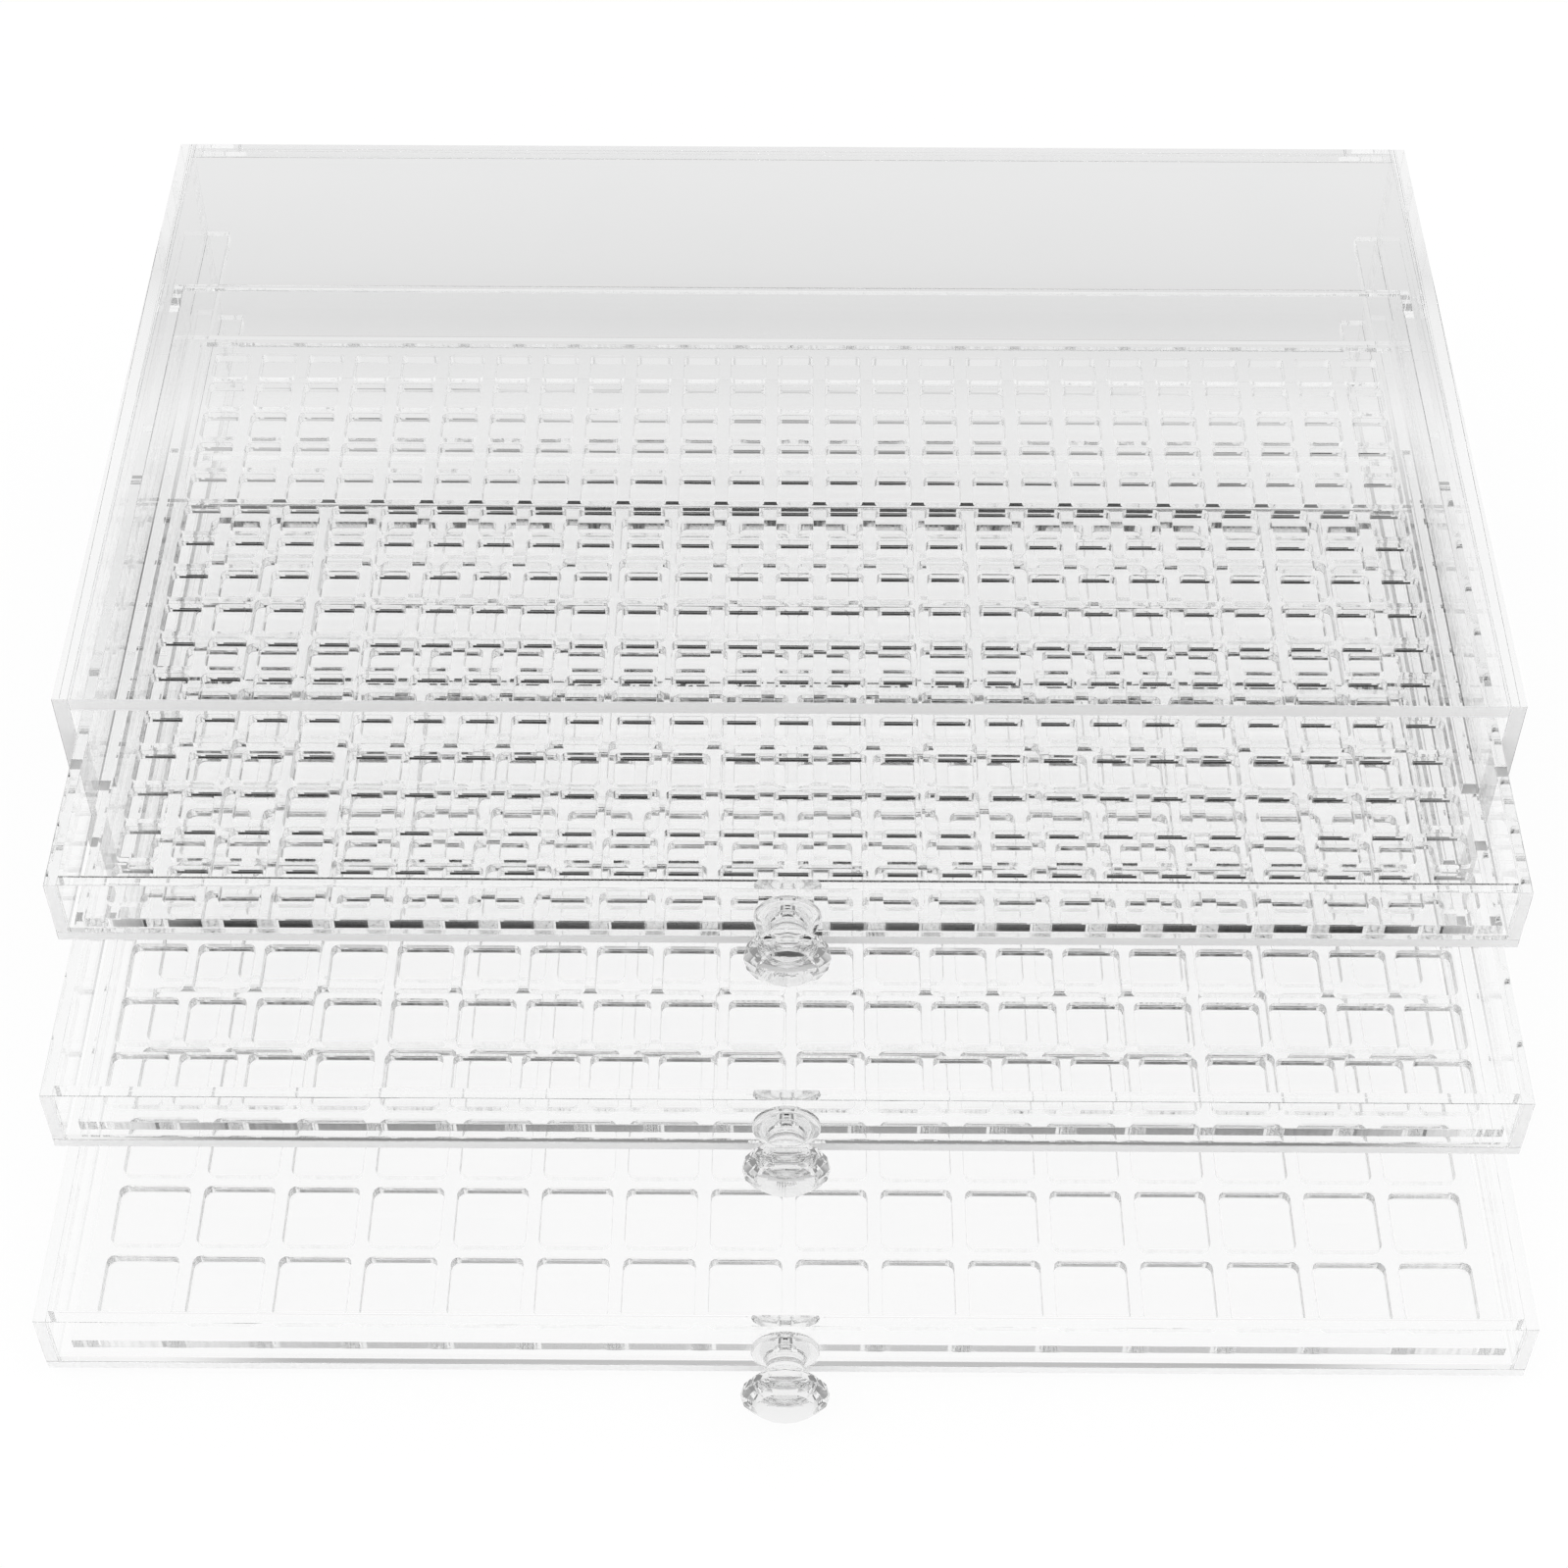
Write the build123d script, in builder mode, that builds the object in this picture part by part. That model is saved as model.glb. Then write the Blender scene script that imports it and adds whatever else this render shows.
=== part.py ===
"""Nail art organizer: a clear acrylic case with three shallow drawers, each holding a pocketed tray.

The origin is the middle of the case's underside. X runs across the front, the open front faces -Y
and +Z is up. The drawers stand pulled out in steps, the lowest one furthest.
"""
import os
from build123d import *

os.makedirs("parts", exist_ok=True)

# Case of flat sheet, open at the front
case_width = 365.0
case_depth = 228.0
case_sheet = 4.0

# Flat runner strips glued to the case sides
rail_width = 7.0
rail_thickness = 4.0

# Drawers of thinner sheet, and the room that they run in
drawer_height = 20.8
drawer_sheet = 3.0
head_room = 6.6
side_gap = 0.8
rear_gap = 0.5

# How far each drawer is pulled out
top_pull = 51.0
middle_pull = 90.0
bottom_pull = 132.7

# Trays that lie on the drawer floors
tray_thickness = 3.3
tray_side_play = 2.2
tray_end_play = 5.5
tray_margin = 5.0
pocket_depth = 3.0

# Free strip between each drawer's front and its tray
top_setback = 0.3
middle_setback = 1.6
bottom_setback = 2.6

# How far each tray lies to the right of the drawer's middle
top_shift = 1.3
middle_shift = 1.0
bottom_shift = 0.7

# Walls between pockets side by side and between rows, with the pockets across and from front to back
top_side_web = 3.4
top_row_web = 2.5
top_columns = 25
top_rows = 16
middle_side_web = 2.5
middle_row_web = 2.75
middle_columns = 20
middle_rows = 12
bottom_side_web = 3.3
bottom_row_web = 3.2
bottom_columns = 16
bottom_rows = 10

# Faceted knobs, measured across their flats and out from the drawer's front
knob_sides = 16
knob_foot_width = 16.5
knob_foot_edge = 1.2
knob_shoulder_width = 11.0
knob_shoulder_reach = 2.3
knob_waist_width = 8.8
knob_waist_reach = 5.0
knob_collar_width = 10.4
knob_collar_reach = 7.2
knob_head_width = 20.5
knob_girdle_reach = 11.8
knob_girdle_length = 1.4
knob_table_width = 13.6
knob_length = 16.0

# Peg behind each knob, glued into a hole through the drawer's front
peg_diameter = 3.8
peg_gap = 0.1

# Sizes that follow from those above
inner_width = case_width - 2 * case_sheet
inner_depth = case_depth - case_sheet
drawer_room = drawer_height + head_room
bottom_floor = case_sheet
middle_floor = bottom_floor + drawer_room + rail_thickness
top_floor = middle_floor + drawer_room + rail_thickness
case_height = top_floor + drawer_room + case_sheet
case_front = -case_depth / 2
back_inside = case_depth / 2 - case_sheet
drawer_width = inner_width - 2 * side_gap
drawer_depth = inner_depth - rear_gap
wall_height = drawer_height - drawer_sheet
tray_width = drawer_width - 2 * drawer_sheet - 2 * tray_side_play
tray_depth = drawer_depth - 2 * drawer_sheet - tray_end_play
pocket_field_width = tray_width - 2 * tray_margin
pocket_field_depth = tray_depth - 2 * tray_margin

# Half of the knob's outline, from its axis at the foot round to its axis at the table
knob_outline = (
    (0, 0),
    (knob_foot_width / 2, 0),
    (knob_foot_width / 2, knob_foot_edge),
    (knob_shoulder_width / 2, knob_shoulder_reach),
    (knob_waist_width / 2, knob_waist_reach),
    (knob_collar_width / 2, knob_collar_reach),
    (knob_head_width / 2, knob_girdle_reach),
    (knob_head_width / 2, knob_girdle_reach + knob_girdle_length),
    (knob_table_width / 2, knob_length),
    (0, knob_length),
)


def save(piece, name):
    """Labels a finished piece and writes it under its own name."""
    piece.label = name
    export_step(piece, f"parts/{name}.step")


# Top sheet, let in between the sides and lying on the back
with BuildPart() as case_top:
    with BuildSketch(Plane.XY.offset(case_height - case_sheet)):
        Rectangle(inner_width, case_depth)
    extrude(amount=case_sheet)
save(case_top.part, "case_top")

# Floor sheet, which carries the lowest drawer
with BuildPart() as case_bottom:
    with BuildSketch(Plane.XY):
        Rectangle(inner_width, case_depth)
    extrude(amount=case_sheet)
save(case_bottom.part, "case_bottom")

# Back sheet, between the floor, the top and the sides
with BuildPart() as case_back:
    with BuildSketch(Plane.XY.offset(case_sheet)):
        with Locations((0, back_inside + case_sheet / 2)):
            Rectangle(inner_width, case_sheet)
    extrude(amount=case_height - 2 * case_sheet)
save(case_back.part, "case_back")

# Full-height sides with their two pairs of runners
for side, hand in (("left", -1), ("right", 1)):
    with BuildPart() as case_side:
        with BuildSketch(Plane.XY):
            with Locations((hand * (inner_width + case_sheet) / 2, 0)):
                Rectangle(case_sheet, case_depth)
        extrude(amount=case_height)
    save(case_side.part, f"case_{side}_side")

    for tier, drawer_floor in (("upper", top_floor), ("lower", middle_floor)):
        with BuildPart() as rail:
            with BuildSketch(Plane.XY.offset(drawer_floor - rail_thickness)):
                with Locations((hand * (inner_width - rail_width) / 2, case_front + inner_depth / 2)):
                    Rectangle(rail_width, inner_depth)
            extrude(amount=rail_thickness)
        save(rail.part, f"{tier}_{side}_rail")

# Each drawer: its floor height, pull, tray setback and shift, and its pockets' walls, columns and rows
drawers = (
    ("top", top_floor, top_pull, top_setback, top_shift, top_side_web, top_row_web, top_columns, top_rows),
    ("middle", middle_floor, middle_pull, middle_setback, middle_shift, middle_side_web, middle_row_web, middle_columns, middle_rows),
    ("bottom", bottom_floor, bottom_pull, bottom_setback, bottom_shift, bottom_side_web, bottom_row_web, bottom_columns, bottom_rows),
)

for name, floor, pull, setback, shift, side_web, row_web, columns, rows in drawers:
    front = case_front - pull
    middle = front + drawer_depth / 2
    rim_base = floor + drawer_sheet
    knob_height = floor + drawer_height / 2
    front_face = Plane(origin=(0, front, knob_height), x_dir=(1, 0, 0), z_dir=(0, -1, 0))

    # Floor sheet under the whole drawer
    with BuildPart() as drawer_bottom:
        with BuildSketch(Plane.XY.offset(floor)):
            with Locations((0, middle)):
                Rectangle(drawer_width, drawer_depth)
        extrude(amount=drawer_sheet)
    save(drawer_bottom.part, f"{name}_drawer_bottom")

    # Sides that run the whole length of the floor
    for side, hand in (("left", -1), ("right", 1)):
        with BuildPart() as drawer_side:
            with BuildSketch(Plane.XY.offset(rim_base)):
                with Locations((hand * (drawer_width - drawer_sheet) / 2, middle)):
                    Rectangle(drawer_sheet, drawer_depth)
            extrude(amount=wall_height)
        save(drawer_side.part, f"{name}_drawer_{side}_side")

    # Back strip between the sides
    with BuildPart() as drawer_back:
        with BuildSketch(Plane.XY.offset(rim_base)):
            with Locations((0, front + drawer_depth - drawer_sheet / 2)):
                Rectangle(drawer_width - 2 * drawer_sheet, drawer_sheet)
        extrude(amount=wall_height)
    save(drawer_back.part, f"{name}_drawer_back")

    # Front strip between the sides, drilled for the knob's peg
    with BuildPart() as drawer_front:
        with BuildSketch(Plane.XY.offset(rim_base)):
            with Locations((0, front + drawer_sheet / 2)):
                Rectangle(drawer_width - 2 * drawer_sheet, drawer_sheet)
        extrude(amount=wall_height)
        with Locations(front_face):
            Hole(radius=peg_diameter / 2 + peg_gap)
    save(drawer_front.part, f"{name}_drawer_front")

    # Tray with rows of square pockets for small stones
    pocket_width = (pocket_field_width - (columns - 1) * side_web) / columns
    pocket_length = (pocket_field_depth - (rows - 1) * row_web) / rows
    tray_middle = front + drawer_sheet + setback + tray_depth / 2
    with BuildPart() as tray:
        with BuildSketch(Plane.XY.offset(rim_base)):
            with Locations((shift, tray_middle)):
                Rectangle(tray_width, tray_depth)
        extrude(amount=tray_thickness)
        with BuildSketch(Plane.XY.offset(rim_base + tray_thickness)):
            with Locations((shift, tray_middle)):
                with GridLocations(pocket_width + side_web, pocket_length + row_web, columns, rows):
                    Rectangle(pocket_width, pocket_length)
        extrude(amount=-pocket_depth, mode=Mode.SUBTRACT)
    save(tray.part, f"{name}_tray")

    # Knob: its outline swept straight across makes a bar, and what is common to such bars turned
    # about the peg's axis is a knob with flat facets; the round peg then goes in behind its foot
    with BuildPart() as knob:
        for turn in range(knob_sides // 2):
            across = Vector(1, 0, 0).rotate(Axis.Y, turn * 360 / knob_sides)
            with BuildSketch(Plane(front_face.origin, x_dir=across, z_dir=across.cross(front_face.z_dir))):
                with BuildLine():
                    Polyline(*knob_outline)
                    mirror(about=Plane.YZ)
                make_face()
            extrude(amount=knob_head_width, both=True, mode=Mode.INTERSECT if turn else Mode.ADD)
        with BuildSketch(front_face):
            Circle(peg_diameter / 2)
        extrude(amount=-drawer_sheet)
    save(knob.part, f"{name}_knob")

print(f"case {case_width:.1f} x {case_depth:.1f} x {case_height:.1f} mm")
print(f"drawers {drawer_width:.1f} x {drawer_depth:.1f} x {drawer_height:.1f} mm")
print(f"trays {tray_width:.1f} x {tray_depth:.1f} x {tray_thickness:.1f} mm")
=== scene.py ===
# %% [markdown]
# # A clear nail art organizer
# The object is a low case of clear acrylic sheet with three drawers, each pulled out a little
# further than the one above. Every drawer carries a thin tray full of small square pockets and
# is pulled by a faceted knob. Nothing on it has a colour of its own: it is drawn only by edges,
# by seams and by what the sheets mirror. So this lesson spends its care on true sheet
# thicknesses, small edge bevels, thin air gaps and a room that is worth mirroring.

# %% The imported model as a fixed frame
import math

import bmesh
import bpy
from mathutils import Matrix, Vector


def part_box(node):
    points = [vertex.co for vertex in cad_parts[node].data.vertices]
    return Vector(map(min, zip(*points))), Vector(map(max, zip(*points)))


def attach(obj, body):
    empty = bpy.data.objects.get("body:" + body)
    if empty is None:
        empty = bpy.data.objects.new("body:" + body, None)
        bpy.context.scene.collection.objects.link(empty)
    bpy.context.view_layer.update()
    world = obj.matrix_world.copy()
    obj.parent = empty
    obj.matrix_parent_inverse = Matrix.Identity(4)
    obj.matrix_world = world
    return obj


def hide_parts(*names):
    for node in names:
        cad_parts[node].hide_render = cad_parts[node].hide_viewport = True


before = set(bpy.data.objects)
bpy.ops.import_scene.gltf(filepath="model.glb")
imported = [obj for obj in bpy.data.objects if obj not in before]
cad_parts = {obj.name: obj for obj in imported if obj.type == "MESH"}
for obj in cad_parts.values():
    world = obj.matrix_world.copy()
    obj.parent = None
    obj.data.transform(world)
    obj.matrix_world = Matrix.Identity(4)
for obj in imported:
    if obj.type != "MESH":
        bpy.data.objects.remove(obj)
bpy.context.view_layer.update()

# %% [markdown]
# ## The camera
# The picture looks down on the organizer from in front, so the drawers show as three steps.
# A camera can be turned by eye or by measured angles. Measured angles are used here, because
# the steps only line up when height, distance and tilt are right together.

# %% Camera
IMAGE_WIDTH = 1599
SENSOR_WIDTH = 36.0
FOCAL_PIXELS = 3023.1
CAMERA_PLACE = Vector((0.00086, -0.61682, 0.63151))
CAMERA_YAW = math.radians(-0.228)
CAMERA_PITCH = math.radians(48.2514)
CAMERA_ROLL = math.radians(0.1256)


def make_camera():
    """A camera that looks down on the drawers, turned by yaw, then pitch, then roll."""
    data = bpy.data.cameras.new("camera")
    data.sensor_width = SENSOR_WIDTH
    data.lens = FOCAL_PIXELS * SENSOR_WIDTH / IMAGE_WIDTH
    data.clip_start = 0.05
    data.clip_end = 50.0
    forward = Vector((
        math.sin(CAMERA_YAW) * math.cos(CAMERA_PITCH),
        math.cos(CAMERA_YAW) * math.cos(CAMERA_PITCH),
        -math.sin(CAMERA_PITCH),
    ))
    turn = forward.to_track_quat("-Z", "Y").to_matrix() @ Matrix.Rotation(CAMERA_ROLL, 3, "Z")
    camera = bpy.data.objects.new("camera", data)
    camera.matrix_world = Matrix.Translation(CAMERA_PLACE) @ turn.to_4x4()
    bpy.context.scene.collection.objects.link(camera)
    return camera


scene = bpy.context.scene
scene.camera = make_camera()
scene.view_settings.view_transform = "Standard"
print("camera lens in millimetres:", round(scene.camera.data.lens, 2))

# %% [markdown]
# ## Enough bounces for many sheets
# A ray that goes down through the top, a drawer, its tray and the drawers below crosses more
# than a dozen faces before it meets the floor, and light that runs along inside a sheet is thrown
# from face to face far more often. A path that is cut short turns black, so the number of
# bounces is raised for the whole scene.

# %% Bounces
DEEPEST_PATH = 160
scene.cycles.max_bounces = DEEPEST_PATH
scene.cycles.transmission_bounces = DEEPEST_PATH
scene.cycles.glossy_bounces = DEEPEST_PATH
scene.cycles.transparent_max_bounces = DEEPEST_PATH
print("longest light path:", DEEPEST_PATH, "bounces")

# %% [markdown]
# ## Small helpers for node trees
# Every finish below is a node tree. Three helpers keep the cells short: one adds a node and sets
# its values, one joins an output to an input, and one gives a colour ramp its stops.

# %% Node helpers
WHITE = (1.0, 1.0, 1.0, 1.0)


def add_node(tree, kind, **values):
    """Adds a node. A name in values is a socket if the node has it, or else a property."""
    node = tree.nodes.new(kind)
    for name, value in values.items():
        socket = node.inputs.get(name.replace("_", " "))
        if socket is not None:
            socket.default_value = value
        else:
            setattr(node, name, value)
    return node


def join(tree, source, output, target, entry):
    """Links one node's output to another node's input, both by name or number."""
    tree.links.new(source.outputs[output], target.inputs[entry])


def set_stops(ramp_node, stops):
    """Gives a colour ramp its stops, each a place and a grey level."""
    elements = ramp_node.color_ramp.elements
    while len(elements) > 1:
        elements.remove(elements[-1])
    for index, (place, grey) in enumerate(stops):
        stop = elements[0] if index == 0 else elements.new(place)
        stop.position = place
        stop.color = (grey, grey, grey, 1.0)


# %% [markdown]
# ## The room
# Clear sheet shows its room. The walls of the pockets throw the view down to the underside of
# the tray, which mirrors it up and away to the far side of the room, as high as the camera
# stands. The room is therefore bright up to that height, has a dark window there in the wall
# behind and in the wall in front, and grows bright again above it. The side walls are dim low
# down, which gives the knobs' facets something to mirror. Two measures of the world's direction
# make this room: its height above the horizon, and how far it turns from the wall behind.

# %% The world
SIDE_STOPS = (
    (0.0, 0.3),
    (0.45, 0.35),
    (0.6, 0.88),
    (1.0, 0.92),
)
ROOM_STOPS = (
    (0.0, 1.0),
    (0.54, 1.0),
    (0.6, 0.82),
    (0.645, 0.82),
    (0.675, 0.02),
    (0.767, 0.03),
    (0.8, 0.15),
    (0.843, 0.4),
    (0.87, 0.6),
    (0.92, 0.85),
    (1.0, 0.92),
)
WINDOW_EDGE = (0.3, 0.42)


def turn_from_wall(tree, split):
    """Tangent of the angle between a direction and the line from the front wall to the back."""
    slope = add_node(tree, "ShaderNodeMath", operation="DIVIDE")
    turn = add_node(tree, "ShaderNodeMath", operation="ABSOLUTE")
    join(tree, split, "X", slope, 0)
    join(tree, split, "Y", slope, 1)
    join(tree, slope, 0, turn, 0)
    return turn


def studio_shade(tree):
    """Brightness of the room by direction, as a colour output."""
    place = add_node(tree, "ShaderNodeTexCoord")
    split = add_node(tree, "ShaderNodeSeparateXYZ")
    ahead = add_node(tree, "ShaderNodeValToRGB")
    beside = add_node(tree, "ShaderNodeValToRGB")
    set_stops(ahead, ROOM_STOPS)
    set_stops(beside, SIDE_STOPS)
    side = add_node(tree, "ShaderNodeMapRange", interpolation_type="SMOOTHSTEP",
                    From_Min=WINDOW_EDGE[0], From_Max=WINDOW_EDGE[1])
    shade = add_node(tree, "ShaderNodeMix", data_type="RGBA")
    join(tree, place, "Generated", split, 0)
    join(tree, split, "Z", ahead, 0)
    join(tree, split, "Z", beside, 0)
    join(tree, turn_from_wall(tree, split), 0, side, 0)
    join(tree, side, 0, shade, 0)
    tree.links.new(ahead.outputs[0], shade.inputs[6])
    tree.links.new(beside.outputs[0], shade.inputs[7])
    return shade.outputs[2]


def make_room():
    """A world that is plain white, and a studio with dark windows to mirrored rays."""
    world = bpy.data.worlds.new("studio")
    world.use_nodes = True
    tree = world.node_tree
    tree.nodes.clear()
    studio = add_node(tree, "ShaderNodeBackground", Strength=1.0)
    plain = add_node(tree, "ShaderNodeBackground", Color=WHITE, Strength=1.0)
    path = add_node(tree, "ShaderNodeLightPath")
    mirrored = add_node(tree, "ShaderNodeMath", operation="MAXIMUM")
    choose = add_node(tree, "ShaderNodeMixShader")
    out = add_node(tree, "ShaderNodeOutputWorld")
    tree.links.new(studio_shade(tree), studio.inputs["Color"])
    join(tree, path, "Is Glossy Ray", mirrored, 0)
    join(tree, path, "Is Transmission Ray", mirrored, 1)
    join(tree, mirrored, 0, choose, 0)
    join(tree, plain, 0, choose, 1)
    join(tree, studio, 0, choose, 2)
    join(tree, choose, 0, out, 0)
    return world


scene.world = make_room()
print("room stops:", len(ROOM_STOPS))

# %% [markdown]
# ## The floor
# The floor is a plain pale sheet. To the camera it is white but for a small matt share, which keeps
# the object's soft shadow. Through or off the acrylic its glow carries painted shade: it falls off to
# a light grey towards the back, as a lit sweep does, darkest in a band just behind the case, and that
# painted tone is what makes clear sheet stand out from a white page.
# To all other rays it is an ordinary matt surface, so the object has a floor that light falls on.

# %% Floor
FLOOR_SIZE = 8.0
FLOOR_DROP = 0.0002
FLOOR_GREY = (0.9, 0.9, 0.9, 1.0)
WHITE_SHARE = 0.94
PAINTED_FALL_OFF = (-0.3, 0.3)
# Painted shade in the floor's glow, for rays through or off the acrylic: grey towards the back,
# darkest just behind the case.
PAINTED_FLOOR_SHADE_STOPS = (
    (0.0, 1.0),
    (0.55, 1.0),
    (0.66, 0.92),
    (0.695, 0.82),
    (0.757, 0.71),
    (0.805, 0.757),
    (0.88, 0.795),
    (1.0, 0.8),
)


def painted_floor_shade(tree):
    """Painted shade of the floor from front to back, light falloff and a darker band behind the case,
    as a colour output.
    """
    place = add_node(tree, "ShaderNodeTexCoord")
    split = add_node(tree, "ShaderNodeSeparateXYZ")
    depth = add_node(tree, "ShaderNodeMapRange", From_Min=PAINTED_FALL_OFF[0], From_Max=PAINTED_FALL_OFF[1])
    ramp = add_node(tree, "ShaderNodeValToRGB")
    set_stops(ramp, PAINTED_FLOOR_SHADE_STOPS)
    join(tree, place, "Object", split, 0)
    join(tree, split, "Y", depth, 0)
    join(tree, depth, 0, ramp, 0)
    return ramp.outputs[0]


def floor_finish():
    """White as seen directly, with painted shade falling off behind through the sheets, matt for
    every other ray.
    """
    finish = bpy.data.materials.new("pale floor")
    finish.use_nodes = True
    tree = finish.node_tree
    tree.nodes.clear()
    path = add_node(tree, "ShaderNodeLightPath")
    mirrored = add_node(tree, "ShaderNodeMath", operation="MAXIMUM")
    seen = add_node(tree, "ShaderNodeMath", operation="MAXIMUM")
    share = add_node(tree, "ShaderNodeMath", operation="MULTIPLY")
    share.inputs[1].default_value = WHITE_SHARE
    matt = add_node(tree, "ShaderNodeBsdfDiffuse", Color=FLOOR_GREY)
    white = add_node(tree, "ShaderNodeEmission", Strength=1.0)
    # This mix puts the painted floor shade into the glow for every ray but camera rays.
    tone = add_node(tree, "ShaderNodeMix", data_type="RGBA")
    tone.inputs[7].default_value = WHITE
    tree.links.new(painted_floor_shade(tree), tone.inputs[6])
    tree.links.new(path.outputs["Is Camera Ray"], tone.inputs[0])
    tree.links.new(tone.outputs[2], white.inputs["Color"])
    choose = add_node(tree, "ShaderNodeMixShader")
    out = add_node(tree, "ShaderNodeOutputMaterial")
    join(tree, path, "Is Glossy Ray", mirrored, 0)
    join(tree, path, "Is Transmission Ray", mirrored, 1)
    join(tree, path, "Is Camera Ray", seen, 0)
    join(tree, mirrored, 0, seen, 1)
    join(tree, seen, 0, share, 0)
    join(tree, share, 0, choose, 0)
    join(tree, matt, 0, choose, 1)
    join(tree, white, 0, choose, 2)
    join(tree, choose, 0, out, 0)
    return finish


def make_floor():
    """One large flat sheet just under the case."""
    bm = bmesh.new()
    bmesh.ops.create_grid(bm, x_segments=1, y_segments=1, size=FLOOR_SIZE / 2)
    bmesh.ops.translate(bm, vec=(0.0, 0.0, -FLOOR_DROP), verts=bm.verts)
    mesh = bpy.data.meshes.new("floor")
    bm.to_mesh(mesh)
    bm.free()
    mesh.materials.append(floor_finish())
    floor = bpy.data.objects.new("floor", mesh)
    bpy.context.scene.collection.objects.link(floor)
    return floor


make_floor()
print("floor:", FLOOR_SIZE, "m square")

# %% [markdown]
# ## Soft lamps
# Two broad lamps give the sawn edges and the floor a gentle direction. They are kept out of
# mirrored and transmitted rays, because a lamp's hard outline in twenty sheets would be noise.

# %% Lamps
LAMPS = {
    "soft_key": ((-0.9, -0.9, 1.6), 1.2, 9.0),
    "soft_fill": ((1.1, -0.5, 1.3), 1.2, 5.0),
}
for lamp_name, (lamp_place, lamp_size, lamp_power) in LAMPS.items():
    lamp_data = bpy.data.lights.new(lamp_name, "AREA")
    lamp_data.shape = "SQUARE"
    lamp_data.size = lamp_size
    lamp_data.energy = lamp_power
    lamp = bpy.data.objects.new(lamp_name, lamp_data)
    lamp.location = lamp_place
    lamp.rotation_euler = (-Vector(lamp_place)).to_track_quat("-Z", "Y").to_euler()
    lamp.visible_glossy = False
    lamp.visible_transmission = False
    scene.collection.objects.link(lamp)
print("lamps:", len(LAMPS))

# %% [markdown]
# ## Shared surface effects
# Handled acrylic is never perfect: fingers leave a thin haze in soft patches, and cast sheet
# swells and sinks a little. The same marks are on every polished face, so they are one node
# group. It reads Object coordinates, which are metres here, so the patches have a real size.

# %% Handling marks
MARKED = (0.992, 0.994, 0.994, 1.0)
MOST_MARK_HAZE = 0.02
SWELL_SCALE = 14.0


def new_group(name, outputs):
    """An empty shader group with a Scale input and the named outputs."""
    tree = bpy.data.node_groups.new(name, "ShaderNodeTree")
    tree.interface.new_socket("Scale", in_out="INPUT", socket_type="NodeSocketFloat")
    for label, kind in outputs:
        tree.interface.new_socket(label, in_out="OUTPUT", socket_type=kind)
    start = tree.nodes.new("NodeGroupInput")
    end = tree.nodes.new("NodeGroupOutput")
    return tree, start, end


def handling_marks():
    """Soft patches of haze, a faint tint in them, and a slow swell of the sheet."""
    tree, start, end = new_group("handling marks", (
        ("Tint", "NodeSocketColor"), ("Haze", "NodeSocketFloat"), ("Swell", "NodeSocketFloat")))
    place = add_node(tree, "ShaderNodeTexCoord")
    patches = add_node(tree, "ShaderNodeTexNoise", Detail=3.0, Roughness=0.6)
    edge = add_node(tree, "ShaderNodeValToRGB")
    set_stops(edge, ((0.5, 0.0), (0.75, 1.0)))
    tint = add_node(tree, "ShaderNodeMix", data_type="RGBA")
    tint.inputs[6].default_value = WHITE
    tint.inputs[7].default_value = MARKED
    haze = add_node(tree, "ShaderNodeMapRange", To_Min=0.0, To_Max=MOST_MARK_HAZE)
    swell = add_node(tree, "ShaderNodeTexNoise", Scale=SWELL_SCALE, Detail=1.0)
    join(tree, place, "Object", patches, "Vector")
    join(tree, start, "Scale", patches, "Scale")
    join(tree, patches, 0, edge, 0)
    join(tree, edge, 0, tint, 0)
    join(tree, edge, 0, haze, 0)
    join(tree, place, "Object", swell, "Vector")
    tree.links.new(tint.outputs[2], end.inputs["Tint"])
    join(tree, haze, 0, end, "Haze")
    join(tree, swell, 0, end, "Swell")
    return tree


HANDLING = handling_marks()
print("group:", HANDLING.name)

# %% [markdown]
# ## Marks of the cutter
# The edges of each sheet, and the walls of each pocket, were cut. A cutter leaves fine upright
# lines. Noise that is stretched along the height gives such lines without any drawn pattern.

# %% Cutter marks
LINE_STRETCH = (1.0, 1.0, 0.06)
SAWN_HAZE = (0.28, 0.5)


def cutter_marks():
    """Fine lines across a cut face: their height and the haze they leave."""
    tree, start, end = new_group("cutter marks", (
        ("Height", "NodeSocketFloat"), ("Haze", "NodeSocketFloat")))
    place = add_node(tree, "ShaderNodeTexCoord")
    stretch = add_node(tree, "ShaderNodeMapping")
    stretch.inputs["Scale"].default_value = LINE_STRETCH
    lines = add_node(tree, "ShaderNodeTexNoise", Detail=2.0, Roughness=0.5)
    haze = add_node(tree, "ShaderNodeMapRange", To_Min=SAWN_HAZE[0], To_Max=SAWN_HAZE[1])
    join(tree, place, "Object", stretch, "Vector")
    join(tree, stretch, 0, lines, "Vector")
    join(tree, start, "Scale", lines, "Scale")
    join(tree, lines, 0, haze, 0)
    join(tree, lines, 0, end, "Height")
    join(tree, haze, 0, end, "Haze")
    return tree


CUTTING = cutter_marks()
print("group:", CUTTING.name)

# %% [markdown]
# ## Clear acrylic
# Polished sheet is a full transmission material with acrylic's index of refraction, 1.49. What
# varies over it comes from the handling marks. Transmission and index are the same all over,
# so they are set straight on the shader. A dark tint weakens the mirror of the outer faces, or
# twenty of them in a row would grey the stack. What is mirrored inside a sheet stays as strong.

# %% Polished finish
ACRYLIC_INDEX = 1.49
MIRROR_TINT = (0.05, 0.05, 0.05, 1.0)


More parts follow.
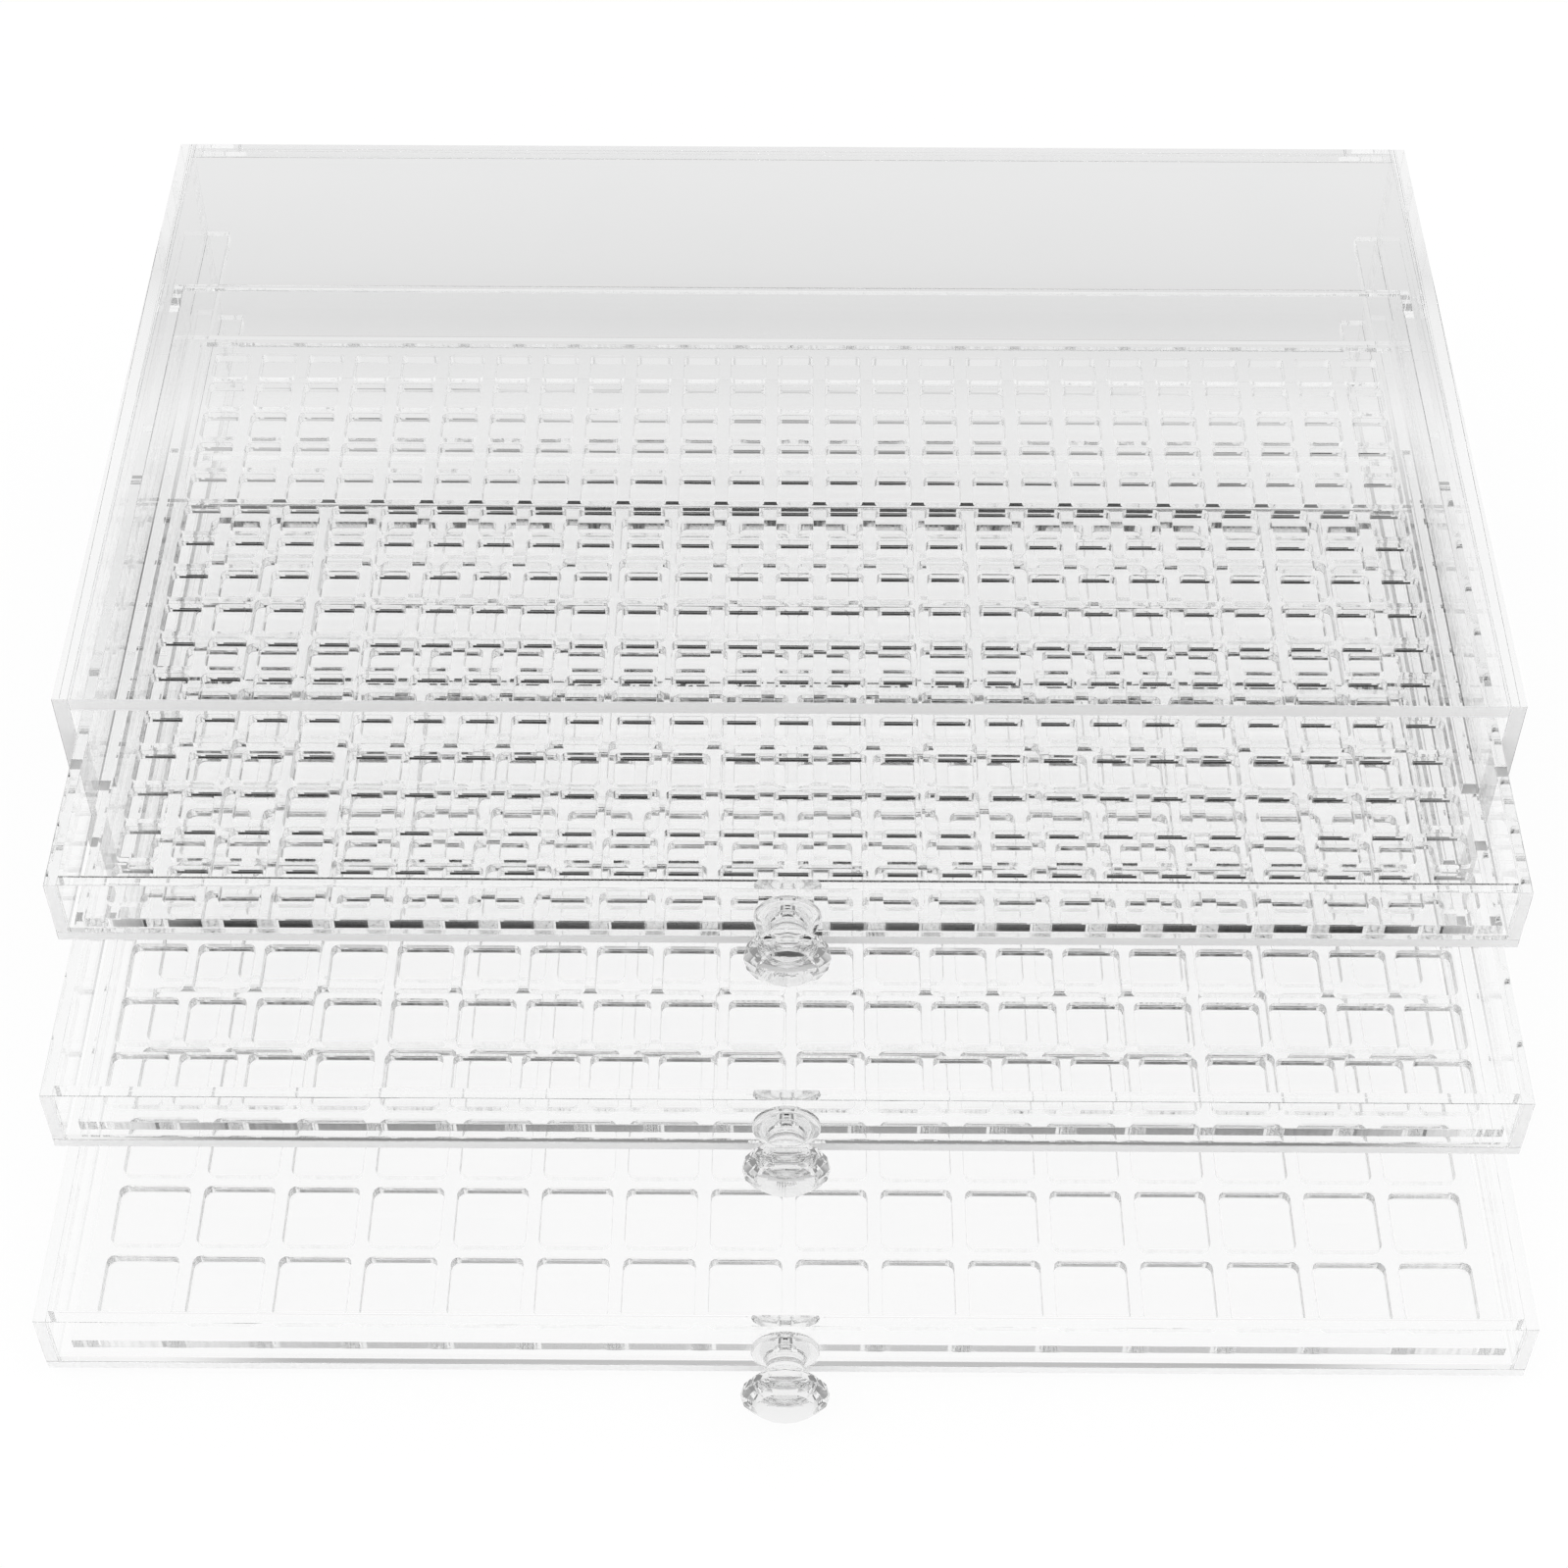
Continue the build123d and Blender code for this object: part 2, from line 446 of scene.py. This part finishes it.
def start_finish(name, clear=1.0):
    """A material with an empty tree, a clear shader and its output."""
    finish = bpy.data.materials.new(name)
    finish.use_nodes = True
    tree = finish.node_tree
    tree.nodes.clear()
    shader = add_node(tree, "ShaderNodeBsdfPrincipled", IOR=ACRYLIC_INDEX, Specular_Tint=MIRROR_TINT)
    shader.inputs["Transmission Weight"].default_value = clear
    out = add_node(tree, "ShaderNodeOutputMaterial")
    join(tree, shader, 0, out, 0)
    return finish, tree, shader


def use_group(tree, group, scale):
    """Places a shared group in a material with its own scale."""
    node = tree.nodes.new("ShaderNodeGroup")
    node.node_tree = group
    node.inputs["Scale"].default_value = scale
    return node


def polished_finish(name, patch_scale, swell_depth, tone=1.0):
    """Clear faces as they come from the protective film, with light handling marks on a grey tone."""
    finish, tree, shader = start_finish(name)
    marks = use_group(tree, HANDLING, patch_scale)
    body = add_node(tree, "ShaderNodeMix", data_type="RGBA", blend_type="MULTIPLY")
    body.inputs[0].default_value = 1.0
    body.inputs[7].default_value = (tone, tone, tone, 1.0)
    bump = add_node(tree, "ShaderNodeBump", Strength=0.3, Distance=swell_depth)
    tree.links.new(marks.outputs["Tint"], body.inputs[6])
    tree.links.new(body.outputs[2], shader.inputs["Base Color"])
    join(tree, marks, "Haze", shader, "Roughness")
    join(tree, marks, "Swell", bump, "Height")
    join(tree, bump, 0, shader, "Normal")
    return finish


CASE_FACE = polished_finish("case sheet face", 24.0, 0.0001)
DRAWER_FACE = polished_finish("drawer sheet face", 30.0, 0.0001)
TRAY_FACE = polished_finish("tray face", 36.0, 0.0001)
KNOB_FACE = polished_finish("knob facet", 160.0, 0.0001, tone=0.9)
print("polished finishes: 4")

# %% [markdown]
# ## Sawn edges
# The narrow ends that a sheet turns to the front are sawn and not polished. They read as flat
# pale grey bands. The same clear shader with a rough surface and the cutter's lines gives that
# frosted look. The rails are cut the most roughly, so their ends let the least light through.

# %% Sawn finish
SAWN_CLEAR = 0.5
ROUGH_CLEAR = 0.12
CUT_PATCHES = 60.0


def sawn_finish(name, line_scale, depth, clear=SAWN_CLEAR):
    """Frosted cut edges with fine lines."""
    finish, tree, shader = start_finish(name, clear)
    marks = use_group(tree, HANDLING, CUT_PATCHES)
    lines = use_group(tree, CUTTING, line_scale)
    bump = add_node(tree, "ShaderNodeBump", Strength=0.4, Distance=depth)
    join(tree, marks, "Tint", shader, "Base Color")
    join(tree, lines, "Haze", shader, "Roughness")
    join(tree, lines, "Height", bump, "Height")
    join(tree, bump, 0, shader, "Normal")
    return finish


CASE_EDGE = sawn_finish("case sawn edge", 1500.0, 0.00008)
DRAWER_EDGE = sawn_finish("drawer sawn edge", 1800.0, 0.00006)
RAIL_END = sawn_finish("rail rough end", 1500.0, 0.00008, clear=ROUGH_CLEAR)
print("sawn finishes: 3")

# %% [markdown]
# ## Pocket walls
# The walls of the pockets are milled: clear enough to throw a dark bar, with faint upright
# lines that break the bar up here and there. The larger the pockets, the coarser the cutter was,
# so each tray has walls of its own haze, and the dark bars pale from the top tray to the bottom.
# The rims of the larger pockets are worn dull.

# %% Milled finish
LINE_HEIGHTS = (0.3, 0.7)


def milled_finish(name, line_scale, depth, least_haze, most_haze):
    """Clear milled walls with faint upright lines."""
    finish, tree, shader = start_finish(name)
    marks = use_group(tree, HANDLING, CUT_PATCHES)
    lines = use_group(tree, CUTTING, line_scale)
    haze = add_node(tree, "ShaderNodeMapRange", From_Min=LINE_HEIGHTS[0], From_Max=LINE_HEIGHTS[1],
                    To_Min=least_haze, To_Max=most_haze)
    bump = add_node(tree, "ShaderNodeBump", Strength=0.15, Distance=depth)
    join(tree, marks, "Tint", shader, "Base Color")
    join(tree, lines, "Height", haze, 0)
    join(tree, haze, 0, shader, "Roughness")
    join(tree, lines, "Height", bump, "Height")
    join(tree, bump, 0, shader, "Normal")
    return finish


POCKET_WALLS = {
    "top": milled_finish("fine milled wall", 1600.0, 0.00003, 0.0, 0.03),
    "middle": milled_finish("milled wall", 1200.0, 0.00005, 0.03, 0.22),
    "bottom": milled_finish("coarse milled wall", 1000.0, 0.00005, 0.06, 0.26),
}
POCKET_CORNER = milled_finish("pocket corner", 1200.0, 0.00003, 0.06, 0.22)
WORN_RIM = sawn_finish("worn pocket rim", 1500.0, 0.00003)
POCKET_RIMS = {"top": POCKET_WALLS["top"], "middle": WORN_RIM, "bottom": WORN_RIM}
print("pocket finishes:", len(POCKET_WALLS) + 2)

# %% [markdown]
# ## A piece takes its node's place
# Each finished mesh becomes an object at the origin that rides on a body and stands for a CAD
# node. One helper does that for every piece. The sizes that several makers share stand here too:
# the gaps and laps, how near two points count as one, and how near to 0 or 1 a part of a face's
# normal must be for the face to stand upright or to lie square to an axis.

# %% Place a piece
AIR_GAP = 0.00004
GLUE_LAP = 0.00002
NEAR = 0.000001
UPRIGHT = 0.1
SQUARE = 0.99


def place_piece(name, bm, finishes, node, body):
    """Turns a bmesh into a riding piece that stands for one CAD node."""
    mesh = bpy.data.meshes.new(name)
    bm.to_mesh(mesh)
    bm.free()
    for finish in finishes:
        mesh.materials.append(finish)
    piece = bpy.data.objects.new(name, mesh)
    bpy.context.scene.collection.objects.link(piece)
    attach(piece, body)
    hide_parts(node)
    return piece


# %% [markdown]
# ## Sheets
# A sheet could stay a plain box, but then its edges would be mathematically sharp and vanish.
# Real sawn edges are broken a little, and that tiny bevel catches a line of light or dark. A
# cube is scaled to the node's box and all its edges are bevelled. Two clear faces must never lie
# in one plane. Where glue fills a joint, the sheets lap into each other by a hair's breadth, which
# looks like one solid. Elsewhere they keep a hair's breadth of air, which mirrors.

# %% Sheet maker
EDGE_BREAK = 0.00012


def sheet_mesh(node, lap, lift):
    """A bevelled sheet in the node's box, with material 1 on an end that faces the front, else 0.

    It laps over the box on every side, or keeps inside it all but behind where the lap is negative.
    """
    low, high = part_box(node)
    low = low - Vector((lap, lap, lap - lift))
    high = high + Vector((lap, abs(lap), lap))
    size = high - low
    lies_across = size.y == min(size)
    bm = bmesh.new()
    bmesh.ops.create_cube(bm, size=1.0)
    bmesh.ops.scale(bm, vec=size, verts=bm.verts)
    bmesh.ops.translate(bm, vec=(low + high) / 2, verts=bm.verts)
    bmesh.ops.bevel(bm, geom=bm.edges[:], offset=EDGE_BREAK, offset_type="OFFSET", segments=2,
                    profile=0.5, affect="EDGES", material=-1)
    for face in bm.faces:
        face.material_index = 1 if face.normal.y < -SQUARE and not lies_across else 0
    return bm


def make_sheet(node, body, slot, finishes, lap=0.0, lift=0.0):
    """One sheet of the case or a drawer, lapped into its neighbours or lifted off what it lies on."""
    bm = sheet_mesh(node, lap, lift)
    return place_piece(f"{node}_sheet", bm, finishes, node, body)


# %% [markdown]
# ## The case
# Five sheets make the case: two sides, a bottom, a back and a top, open in front. Two pairs of
# rails on the inside of the sides carry the upper drawers. The sheets are joined without a gap,
# and a thin film of air shows between the rails and the sides, so the rails' lap is negative.
# Only their rear ends are joined, to the back.

# %% Case and rails
CASE_SIDES = ("case_left_side", "case_right_side")
LET_IN = ("case_top", "case_bottom", "case_back")
RAILS = ("upper_left_rail", "upper_right_rail", "lower_left_rail", "lower_right_rail")
for case_node in CASE_SIDES:
    make_sheet(case_node, "case", "case_acrylic", (CASE_FACE, CASE_EDGE))
for case_node in LET_IN:
    make_sheet(case_node, "case", "case_acrylic", (CASE_FACE, CASE_EDGE), lap=GLUE_LAP)
for rail_node in RAILS:
    make_sheet(rail_node, "case", "case_acrylic", (CASE_FACE, RAIL_END), lap=-GLUE_LAP)
print("case sheets:", len(CASE_SIDES) + len(LET_IN), "rails:", len(RAILS))

# %% [markdown]
# ## The drawers
# A drawer is a floor sheet with two sides, a back and a front strip standing on it, over a thin
# film of air. The front strip has one hole through it for the knob's peg. A boolean would leave
# long thin triangles there, which show in clear sheet. So a small square is cut out of both faces
# of the bevelled strip, and bands of faces lead from each square to the hole and through it.

# %% Drawer sheets
DRAWERS = ("top", "middle", "bottom")
PEG_HOLE_RADIUS = 0.002
HOLE_SIDES = 32
HOLE_PATCH = 0.004


def cut_lines_round(bm, centre):
    """Four cuts mark a small square round the hole on both faces of the strip."""
    for axis, offset in ((0, -HOLE_PATCH), (0, HOLE_PATCH), (2, -HOLE_PATCH), (2, HOLE_PATCH)):
        point = centre.copy()
        point[axis] += offset
        normal = Vector((0.0, 0.0, 0.0))
        normal[axis] = 1.0
        geom = bm.verts[:] + bm.edges[:] + bm.faces[:]
        bmesh.ops.bisect_plane(bm, geom=geom, plane_co=point, plane_no=normal)


def join_rounds(bm, first, second):
    """A band of faces between two rounds of vertices in the same order."""
    for index in range(len(first)):
        bm.faces.new((first[index - 1], first[index], second[index], second[index - 1]))


def round_opening(bm, middle):
    """Fills a square opening up to a round one, and gives the round one's vertices."""
    rim = {vert for edge in bm.edges if edge.is_boundary for vert in edge.verts}
    rim = [vert for vert in rim if abs(vert.co.y - middle.y) < NEAR]
    rim.sort(key=lambda vert: math.atan2(vert.co.z - middle.z, vert.co.x - middle.x))
    ring = [bm.verts.new(middle + (vert.co - middle).normalized() * PEG_HOLE_RADIUS) for vert in rim]
    join_rounds(bm, rim, ring)
    return ring


def drill_peg_hole(bm, centre):
    """Opens both faces and joins them by the wall of a round hole."""
    cut_lines_round(bm, centre)
    patches = [
        face for face in bm.faces
        if abs(face.normal.y) > SQUARE
        and abs(face.calc_center_median().x - centre.x) < HOLE_PATCH
        and abs(face.calc_center_median().z - centre.z) < HOLE_PATCH
    ]
    depths = [patch.calc_center_median().y for patch in patches]
    squares = [edge for patch in patches for edge in patch.edges]
    bmesh.ops.delete(bm, geom=patches, context="FACES_ONLY")
    bmesh.ops.subdivide_edges(bm, edges=squares, cuts=HOLE_SIDES // 4 - 1)
    rings = [round_opening(bm, Vector((centre.x, depth, centre.z))) for depth in depths]
    join_rounds(bm, *rings)
    bmesh.ops.recalc_face_normals(bm, faces=bm.faces)
    open_edges = [edge for edge in bm.edges if not edge.is_manifold]
    print("strip faces", len(bm.faces), "open edges", len(open_edges))


def make_front(drawer):
    """The front strip with its peg hole."""
    node = f"{drawer}_drawer_front"
    low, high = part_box(node)
    knob_low, knob_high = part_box(f"{drawer}_knob")
    centre = (knob_low + knob_high) / 2
    centre.y = (low.y + high.y) / 2
    bm = sheet_mesh(node, GLUE_LAP, GLUE_LAP + AIR_GAP)
    drill_peg_hole(bm, centre)
    finishes = (DRAWER_FACE, DRAWER_EDGE)
    return place_piece(f"{node}_strip", bm, finishes, node, f"{drawer}_drawer")


for drawer in DRAWERS:
    clear_sheet = (f"{drawer}_drawer", "drawer_acrylic", (DRAWER_FACE, DRAWER_EDGE))
    make_sheet(f"{drawer}_drawer_bottom", *clear_sheet, lift=2 * AIR_GAP)
    for part in ("left_side", "right_side", "back"):
        make_sheet(f"{drawer}_drawer_{part}", *clear_sheet, lap=GLUE_LAP, lift=GLUE_LAP + AIR_GAP)
    make_front(drawer)
print("drawer sheets:", 5 * len(DRAWERS))

# %% [markdown]
# ## The pocketed trays
# Each tray is one thin plate with rows of blind pockets. Cutting hundreds of pockets with
# booleans is slow, and a lone pocket that is copied leaves seams. Here a grid has one cell for
# each pocket: every cell is inset by half a web, the inner faces are pushed down, and the four
# upright edges of each pocket are bevelled into the round corners that a cutter leaves. The
# webs beside a pocket and those between rows differ, so the grid is inset while it is squeezed
# to make them equal, and stretched afterwards. Each face then takes its finish from where it
# lies: level faces and the outer edge are polished, and walls, corners and rims are cut.

# %% Tray maker
POCKETS = {
    "top": {
        "columns": 25, "rows": 16, "side_web": 0.0034, "row_web": 0.0025,
        "corner": 0.0013, "foot": 0.00005,
    },
    "middle": {
        "columns": 20, "rows": 12, "side_web": 0.0025, "row_web": 0.00275,
        "corner": 0.0017, "foot": 0.0001,
    },
    "bottom": {
        "columns": 16, "rows": 10, "side_web": 0.0033, "row_web": 0.0032,
        "corner": 0.002, "foot": 0.0002,
    },
}
TRAY_MARGIN = 0.005
POCKET_DEPTH = 0.003
CORNER_STEPS = 3
RIM_BREAK = 0.00004


def pocket_grid(bm, low, high, columns, rows, side_web, row_web):
    """A flat grid at the tray's top whose cells, inset by half a web, leave the pockets' mouths."""
    stretch = side_web / row_web
    field_x = high.x - low.x - 2 * TRAY_MARGIN + side_web
    field_y = high.y - low.y - 2 * TRAY_MARGIN + row_web
    middle = (low + high) / 2
    bmesh.ops.create_grid(bm, x_segments=columns, y_segments=rows, size=0.5)
    bmesh.ops.scale(bm, vec=(field_x / stretch, field_y, 1.0), verts=bm.verts)
    cells = bm.faces[:]
    bmesh.ops.inset_individual(bm, faces=cells, thickness=row_web / 2, use_even_offset=True)
    bmesh.ops.scale(bm, vec=(stretch, 1.0, 1.0), verts=bm.verts)
    bmesh.ops.translate(bm, vec=(middle.x, middle.y, high.z), verts=bm.verts)
    return cells


def break_outlines(bm, height, width):
    """Takes the sharpness off every outline at one height, where a wall meets a level face."""
    outlines = []
    for edge in bm.edges:
        if max(abs(vert.co.z - height) for vert in edge.verts) > NEAR:
            continue
        slopes = sorted(abs(face.normal.z) for face in edge.link_faces)
        if slopes[0] < UPRIGHT and slopes[-1] > SQUARE:
            outlines.append(edge)
    bmesh.ops.bevel(bm, geom=outlines, offset=width, offset_type="OFFSET", segments=1,
                    profile=0.5, affect="EDGES", material=-1)


def sink_pockets(bm, cells, corner):
    """Pushes each pocket's mouth down to its floor and rounds its four upright edges."""
    floors = bmesh.ops.extrude_discrete_faces(bm, faces=cells)["faces"]
    sunk = [vert for face in floors for vert in face.verts]
    bmesh.ops.translate(bm, vec=(0.0, 0.0, -POCKET_DEPTH), verts=sunk)
    upright = [
        edge for vert in sunk for edge in vert.link_edges
        if abs(edge.verts[0].co.z - edge.verts[1].co.z) > POCKET_DEPTH / 2
    ]
    bmesh.ops.bevel(bm, geom=upright, offset=corner, offset_type="OFFSET",
                    segments=CORNER_STEPS, profile=0.5, affect="EDGES", material=-1)


def pull_out_rim(bm, low, high):
    """Pulls the grid's outline out to the tray's edge, then down its sides and shut below."""
    outline = [edge for edge in bm.edges if edge.is_boundary]
    left = min(vert.co.x for edge in outline for vert in edge.verts)
    right = max(vert.co.x for edge in outline for vert in edge.verts)
    front = min(vert.co.y for edge in outline for vert in edge.verts)
    back = max(vert.co.y for edge in outline for vert in edge.verts)
    grown = bmesh.ops.extrude_edge_only(bm, edges=outline)["geom"]
    for vert in [item for item in grown if isinstance(item, bmesh.types.BMVert)]:
        vert.co.x += (low.x - left) * (abs(vert.co.x - left) < NEAR)
        vert.co.x += (high.x - right) * (abs(vert.co.x - right) < NEAR)
        vert.co.y += (low.y - front) * (abs(vert.co.y - front) < NEAR)
        vert.co.y += (high.y - back) * (abs(vert.co.y - back) < NEAR)
    rim = [item for item in grown if isinstance(item, bmesh.types.BMEdge) and item.is_boundary]
    skirt = bmesh.ops.extrude_edge_only(bm, edges=rim)["geom"]
    lowered = [item for item in skirt if isinstance(item, bmesh.types.BMVert)]
    bmesh.ops.translate(bm, vec=(0.0, 0.0, low.z - high.z), verts=lowered)
    hem = [item for item in skirt if isinstance(item, bmesh.types.BMEdge) and item.is_boundary]
    bmesh.ops.contextual_create(bm, geom=hem)


def tray_finish(face, low, high):
    """Number of a face's finish: 0 polished, 1 pocket wall, 2 rounded corner, 3 pocket rim."""
    centre = face.calc_center_median()
    inside = min(centre.x - low.x, high.x - centre.x, centre.y - low.y, high.y - centre.y)
    if inside < TRAY_MARGIN / 2 or abs(face.normal.z) > SQUARE:
        return 0
    if abs(face.normal.z) > UPRIGHT:
        return 3 if centre.z > high.z - RIM_BREAK else 1
    return 1 if max(abs(face.normal.x), abs(face.normal.y)) > SQUARE else 2


def make_tray(drawer, columns, rows, side_web, row_web, corner, foot):
    """One clear tray with its pockets."""
    node = f"{drawer}_tray"
    low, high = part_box(node)
    gap = Vector((AIR_GAP,) * 3)
    low, high = low + gap, high - gap
    bm = bmesh.new()
    cells = pocket_grid(bm, low, high, columns, rows, side_web, row_web)
    sink_pockets(bm, cells, corner)
    pull_out_rim(bm, low, high)
    bmesh.ops.recalc_face_normals(bm, faces=bm.faces)
    break_outlines(bm, high.z, RIM_BREAK)
    break_outlines(bm, high.z - POCKET_DEPTH, foot)
    for face in bm.faces:
        face.material_index = tray_finish(face, low, high)
    open_edges = [edge for edge in bm.edges if not edge.is_manifold]
    print(node, "pockets", columns * rows, "faces", len(bm.faces), "open edges", len(open_edges))
    finishes = (TRAY_FACE, POCKET_WALLS[drawer], POCKET_CORNER, POCKET_RIMS[drawer])
    return place_piece(f"{drawer}_pocket_tray", bm, finishes, node, f"{drawer}_drawer")


for drawer, sizes in POCKETS.items():
    make_tray(drawer, **sizes)

# %% [markdown]
# ## The knobs
# A knob is turned and cut from clear acrylic: a round foot on the drawer's front, a hollow
# neck, and a head with flat facets. It could be a lathe shape all over, but the head's flats
# are what makes it glitter. So half an outline is spun round, and then the rings of the head
# are drawn out to the flats of a sixteen-sided prism. The foot is glued, so it laps into the front
# strip, and the peg has air round it in its hole.

# %% Knob maker
KNOB_STEPS = 64
KNOB_CREASE = math.radians(28)
HEAD_SIDES = 16
PEG_RADIUS = 0.0019
PEG_LENGTH = 0.00298
FOOT_OUTLINE = ((-2 * GLUE_LAP, 0.0081), (0.0002, 0.00825), (0.0009, 0.00825), (0.0013, 0.0079))
NECK_OUTLINE = (
    (0.0016, 0.0066), (0.0023, 0.00555), (0.0034, 0.00475), (0.005, 0.0044),
    (0.0062, 0.00465), (0.0072, 0.0052),
)
HEAD_OUTLINE = ((0.0118, 0.01025), (0.0132, 0.01025), (0.016, 0.0068))


def knob_outline():
    """Reach from the drawer's front and radius, from the peg's end to the middle of the table."""
    peg = ((-PEG_LENGTH, 0.0), (-PEG_LENGTH, PEG_RADIUS), (-2 * GLUE_LAP, PEG_RADIUS))
    table = ((HEAD_OUTLINE[-1][0], 0.0),)
    return peg + FOOT_OUTLINE + NECK_OUTLINE + HEAD_OUTLINE + table


def flatten_head(bm, axis_point, front):
    """Draws the head's rings out to the flats of a regular prism."""
    wedge = 2 * math.pi / HEAD_SIDES
    for vert in bm.verts:
        if front - vert.co.y < HEAD_OUTLINE[0][0] - NEAR:
            continue
        across = vert.co.x - axis_point.x
        along = vert.co.z - axis_point.z
        angle = math.atan2(along, across) % wedge - wedge / 2
        outward = 1.0 / math.cos(angle)
        vert.co.x = axis_point.x + across * outward
        vert.co.z = axis_point.z + along * outward


def make_knob(drawer):
    """One clear knob on its peg."""
    node = f"{drawer}_knob"
    low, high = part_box(node)
    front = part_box(f"{drawer}_drawer_front")[0].y
    middle = (low + high) / 2
    bm = bmesh.new()
    last = None
    for reach, radius in knob_outline():
        vert = bm.verts.new((middle.x + radius, front - reach, middle.z))
        if last is not None:
            bm.edges.new((last, vert))
        last = vert
    bmesh.ops.spin(bm, geom=bm.verts[:] + bm.edges[:], cent=middle, axis=(0.0, 1.0, 0.0),
                   angle=2 * math.pi, steps=KNOB_STEPS, use_merge=True)
    bmesh.ops.remove_doubles(bm, verts=bm.verts, dist=NEAR)
    flatten_head(bm, middle, front)
    bmesh.ops.recalc_face_normals(bm, faces=bm.faces)
    neck_end = front - NECK_OUTLINE[-1][0]
    for face in bm.faces:
        face.smooth = face.calc_center_median().y > neck_end
    for edge in bm.edges:
        edge.smooth = edge.calc_face_angle(0.0) < KNOB_CREASE
    open_edges = [edge for edge in bm.edges if not edge.is_manifold]
    print(node, "faces", len(bm.faces), "open edges", len(open_edges))
    name = f"{drawer}_faceted_knob"
    return place_piece(name, bm, (KNOB_FACE,), node, f"{drawer}_drawer")


for drawer in DRAWERS:
    make_knob(drawer)
